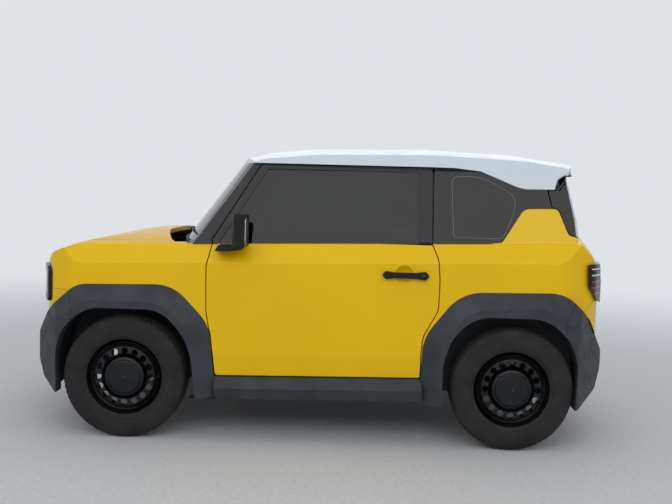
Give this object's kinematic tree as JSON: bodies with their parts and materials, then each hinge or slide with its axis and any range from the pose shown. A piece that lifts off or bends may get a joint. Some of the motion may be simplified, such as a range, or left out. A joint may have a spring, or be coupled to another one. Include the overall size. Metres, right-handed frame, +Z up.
{
  "type": "two-door electric microcar",
  "caption": "Small upright two-door electric car with plastic wheel-arch flares, steel wheels, opening doors, tailgate and bonnet, and steered front wheels",
  "frame": {"origin": "on the ground, on the centre line, midway between the two ends of the car", "axes": "+X to the rear of the car, +Y to its right-hand side, +Z up"},
  "size_m": [3.19, 1.9062, 1.622],
  "materials": {
    "yellow_paint": "glossy solid yellow car paint",
    "white_paint": "glossy solid white car paint",
    "gloss_black": "smooth gloss black trim",
    "dark_plastic": "grained dark grey plastic",
    "tinted_glass": "dark tinted glass",
    "headlamp_lens": "clear lamp lens",
    "tail_lamp_lens": "dark red lamp lens",
    "frame_paint": "primed dark body steel",
    "battery_case": "coated battery case",
    "chassis_black": "black chassis coating",
    "cast_metal": "rough cast metal",
    "bare_steel": "bare steel",
    "tyre_rubber": "worn road tyre rubber",
    "rim_black": "satin black wheel paint",
    "cabin_plastic": "grained dark cabin plastic",
    "seat_fabric": "dark woven seat cloth"
  },
  "bodies": {
    "car_body": {"body_frame": "frame_paint", "battery_pack": "battery_case", "front_suspension": "chassis_black", "rear_axle": "chassis_black", "drive_motor": "cast_metal", "rear_suspension": "chassis_black", "wheelhouse_liners": "dark_plastic", "front_fenders": "yellow_paint", "quarter_panels": "yellow_paint", "pillar_frame": "gloss_black", "roof": "white_paint", "cowl_panel": "dark_plastic", "windscreen": "tinted_glass", "quarter_windows": "tinted_glass", "bumper_bands": "yellow_paint", "bumper_claddings": "dark_plastic", "lamp_panel": "gloss_black", "headlamps": "headlamp_lens", "tail_lamps": "tail_lamp_lens", "side_claddings": "dark_plastic", "dashboard": "cabin_plastic", "front_seats": "seat_fabric", "rear_bench": "seat_fabric", "charge_inlet": "cabin_plastic"},
    "left_knuckle": {"left_knuckle": "cast_metal"},
    "right_knuckle": {"right_knuckle": "cast_metal"},
    "steering_wheel": {"steering_wheel": "cabin_plastic"},
    "tie_rod_bar": {"tie_rods": "bare_steel"},
    "left_front_wheel": {"left_front_tyre": "tyre_rubber", "left_front_rim": "rim_black"},
    "right_front_wheel": {"right_front_tyre": "tyre_rubber", "right_front_rim": "rim_black"},
    "left_rear_wheel": {"left_rear_tyre": "tyre_rubber", "left_rear_rim": "rim_black"},
    "right_rear_wheel": {"right_rear_tyre": "tyre_rubber", "right_rear_rim": "rim_black"},
    "left_door": {"left_door_trim": "gloss_black", "left_door_panel": "yellow_paint", "left_door_frame": "gloss_black", "left_door_glass": "tinted_glass"},
    "right_door": {"right_door_trim": "gloss_black", "right_door_panel": "yellow_paint", "right_door_frame": "gloss_black", "right_door_glass": "tinted_glass"},
    "tailgate": {"tailgate_panel": "yellow_paint", "tailgate_frame": "gloss_black", "tailgate_glass": "tinted_glass"},
    "bonnet_lid": {"bonnet": "yellow_paint"},
    "charge_flap_lid": {"charge_flap": "yellow_paint"}
  },
  "joints": [
    {"name": "left_front_steer", "type": "hinge", "parent": "car_body", "child": "left_knuckle", "pos_m": [-1.05, -0.652, 0.273], "axis": [0, 0.1502, 0.9887], "range_deg": [-33, 33]},
    {"name": "right_front_steer", "type": "hinge", "parent": "car_body", "child": "right_knuckle", "pos_m": [-1.05, 0.652, 0.273], "axis": [0, -0.1502, 0.9887], "range_deg": [-33, 33]},
    {"name": "steering_wheel_turn", "type": "hinge", "parent": "car_body", "child": "steering_wheel", "pos_m": [-0.262, -0.36, 0.962], "axis": [0.9135, 0, 0.4067], "range_deg": [-495, 495]},
    {"name": "rack_slide", "type": "slide", "parent": "car_body", "child": "tie_rod_bar", "axis": [0, 1, 0], "range_m": [-0.07, 0.07]},
    {"name": "left_front_spin", "type": "hinge", "parent": "left_knuckle", "child": "left_front_wheel", "pos_m": [-1.05, -0.7275, 0.331], "axis": [0, 1, 0], "continuous": true},
    {"name": "right_front_spin", "type": "hinge", "parent": "right_knuckle", "child": "right_front_wheel", "pos_m": [-1.05, 0.7275, 0.331], "axis": [0, 1, 0], "continuous": true},
    {"name": "left_rear_spin", "type": "hinge", "parent": "car_body", "child": "left_rear_wheel", "pos_m": [1.025, -0.7275, 0.331], "axis": [0, 1, 0], "continuous": true},
    {"name": "right_rear_spin", "type": "hinge", "parent": "car_body", "child": "right_rear_wheel", "pos_m": [1.025, 0.7275, 0.331], "axis": [0, 1, 0], "continuous": true},
    {"name": "left_door_swing", "type": "hinge", "parent": "car_body", "child": "left_door", "pos_m": [-0.556, -0.772, 0.7], "axis": [0, 0, -1], "range_deg": [0, 62]},
    {"name": "right_door_swing", "type": "hinge", "parent": "car_body", "child": "right_door", "pos_m": [-0.556, 0.772, 0.7], "axis": [0, 0, 1], "range_deg": [0, 62]},
    {"name": "tailgate_lift", "type": "hinge", "parent": "car_body", "child": "tailgate", "pos_m": [1.398, 0, 1.487], "axis": [0, -1, 0], "range_deg": [0, 75]},
    {"name": "bonnet_lift", "type": "hinge", "parent": "car_body", "child": "bonnet_lid", "pos_m": [-0.86, 0, 1.03], "axis": [0, 1, 0], "range_deg": [0, 45]},
    {"name": "charge_flap_swing", "type": "hinge", "parent": "car_body", "child": "charge_flap_lid", "pos_m": [-0.867, 0.786, 0.908], "axis": [0, 0, 1], "range_deg": [0, 95]}
  ],
  "couplings": [
    {"joint": "right_front_steer", "follows": "left_front_steer", "ratio": 1},
    {"joint": "steering_wheel_turn", "follows": "left_front_steer", "ratio": 15},
    {"joint": "rack_slide", "follows": "left_front_steer", "m_per_rad": 0.12}
  ]
}
